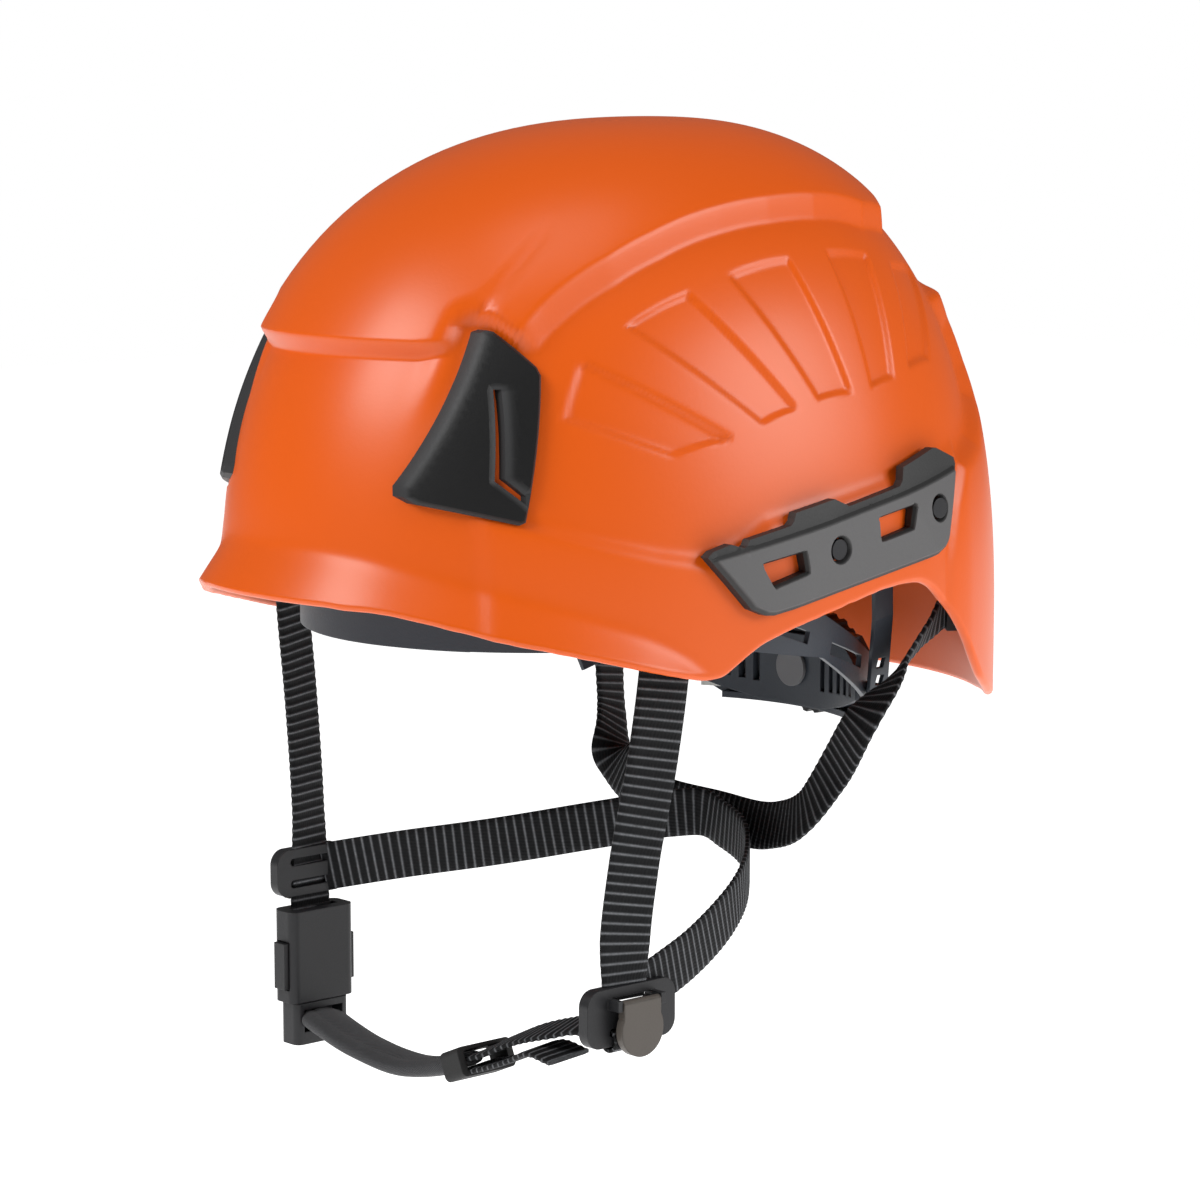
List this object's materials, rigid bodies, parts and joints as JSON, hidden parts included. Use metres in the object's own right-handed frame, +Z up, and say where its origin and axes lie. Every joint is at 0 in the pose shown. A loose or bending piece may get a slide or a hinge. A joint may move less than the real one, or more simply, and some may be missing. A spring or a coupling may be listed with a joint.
{
  "type": "climbing helmet",
  "caption": "Hard-shell climbing helmet with side rails, a wheel-adjusted headband and a buckled chin strap on webbing.",
  "frame": {"origin": "middle of the head seat: on the centre plane, at the height of the headband's front band", "axes": "+Z up, the wearer looks along -Y, +X is the wearer's left"},
  "size_m": [0.2164, 0.2759, 0.3058],
  "materials": {
    "shell_orange": "satin",
    "foam_grey": "matte",
    "pad_black": "matte",
    "black_plastic": "matte",
    "rail_grey": "matte",
    "screw_black": "satin",
    "hub_grey": "matte",
    "slate_plastic": "satin",
    "white_plastic": "matte",
    "spring_steel": "satin",
    "lever_grey": "satin",
    "sleeve_fabric": "matte",
    "keeper_rubber": "matte",
    "webbing": "woven"
  },
  "bodies": {
    "shell": {"outer_shell": "shell_orange", "impact_liner": "foam_grey", "crown_pad": "pad_black", "vent_cover_left": "black_plastic", "vent_cover_right": "black_plastic", "accessory_rail_left": "rail_grey", "accessory_rail_right": "rail_grey", "rail_screws": "screw_black", "pivot_clip_left": "black_plastic", "pivot_clip_right": "black_plastic", "hanger_guide_left": "black_plastic", "hanger_guide_right": "black_plastic", "front_anchor_left": "black_plastic", "front_anchor_right": "black_plastic", "rear_keeper_left": "black_plastic", "rear_keeper_right": "black_plastic", "front_strap_left": "webbing", "front_strap_right": "webbing", "nape_strap": "webbing", "side_strap": "webbing", "divider_left": "black_plastic", "divider_right": "black_plastic", "buckle_socket": "black_plastic"},
    "left_divider_lever": {"divider_lever_left": "lever_grey"},
    "right_divider_lever": {"divider_lever_right": "lever_grey"},
    "front_release_button": {"release_button_front": "black_plastic"},
    "rear_release_button": {"release_button_rear": "black_plastic"},
    "headband": {"headband": "slate_plastic", "brow_pad": "pad_black", "nape_hanger_left": "slate_plastic", "nape_hanger_right": "slate_plastic"},
    "nape": {"nape_cradle": "slate_plastic", "hub_cap": "hub_grey", "wheel_housing": "slate_plastic", "click_spring": "spring_steel"},
    "wheel": {"size_wheel": "black_plastic", "pinion": "white_plastic", "wheel_screw": "spring_steel"},
    "left_rack": {"rack_left": "white_plastic"},
    "right_rack": {"rack_right": "white_plastic"},
    "chin_strap": {"buckle_tongue": "black_plastic", "chin_sleeve": "sleeve_fabric", "chin_webbing": "webbing", "webbing_end": "webbing", "strap_keeper": "keeper_rubber"}
  },
  "joints": [
    {"name": "headband_tilt", "type": "hinge", "parent": "shell", "child": "headband", "pos_m": [0, -0.086, 0], "axis": [1, 0, 0], "range_deg": [-3.5, 3.5]},
    {"name": "nape_slide", "type": "slide", "parent": "headband", "child": "nape", "axis": [0, -1, 0], "range_m": [-0.0066, 0.016]},
    {"name": "wheel_turn", "type": "hinge", "parent": "nape", "child": "wheel", "pos_m": [0, 0.088, -0.042], "axis": [0, -1, 0], "range_deg": [-60, 150]},
    {"name": "rack_left_slide", "type": "hinge", "parent": "nape", "child": "left_rack", "pos_m": [0, 0.004, -0.042], "axis": [0, 0, 1], "range_deg": [-4.8, 11.6]},
    {"name": "rack_right_slide", "type": "hinge", "parent": "nape", "child": "right_rack", "pos_m": [0, 0.004, -0.042], "axis": [0, 0, -1], "range_deg": [-4.8, 11.6]},
    {"name": "left_lever_open", "type": "hinge", "parent": "shell", "child": "left_divider_lever", "pos_m": [0.0862, -0.07, -0.1182], "axis": [0, -1, 0], "range_deg": [0, 70]},
    {"name": "right_lever_open", "type": "hinge", "parent": "shell", "child": "right_divider_lever", "pos_m": [-0.0852, -0.068, -0.1022], "axis": [0, 1, 0], "range_deg": [0, 70]},
    {"name": "front_button_press", "type": "slide", "parent": "shell", "child": "front_release_button", "axis": [0, 1, 0], "range_m": [0, 0.002], "stiffness_N_per_m": 400},
    {"name": "rear_button_press", "type": "slide", "parent": "shell", "child": "rear_release_button", "axis": [0, -1, 0], "range_m": [0, 0.002], "stiffness_N_per_m": 400},
    {"name": "chin_strap_swing", "type": "hinge", "parent": "shell", "child": "chin_strap", "pos_m": [0.0805, -0.07, -0.1301], "axis": [0, -1, 0], "range_deg": [0, 65]}
  ],
  "couplings": [
    {"joint": "nape_slide", "follows": "wheel_turn", "m_per_rad": 0.006},
    {"joint": "rack_left_slide", "follows": "wheel_turn", "ratio": 0.075},
    {"joint": "rack_right_slide", "follows": "wheel_turn", "ratio": 0.075}
  ]
}
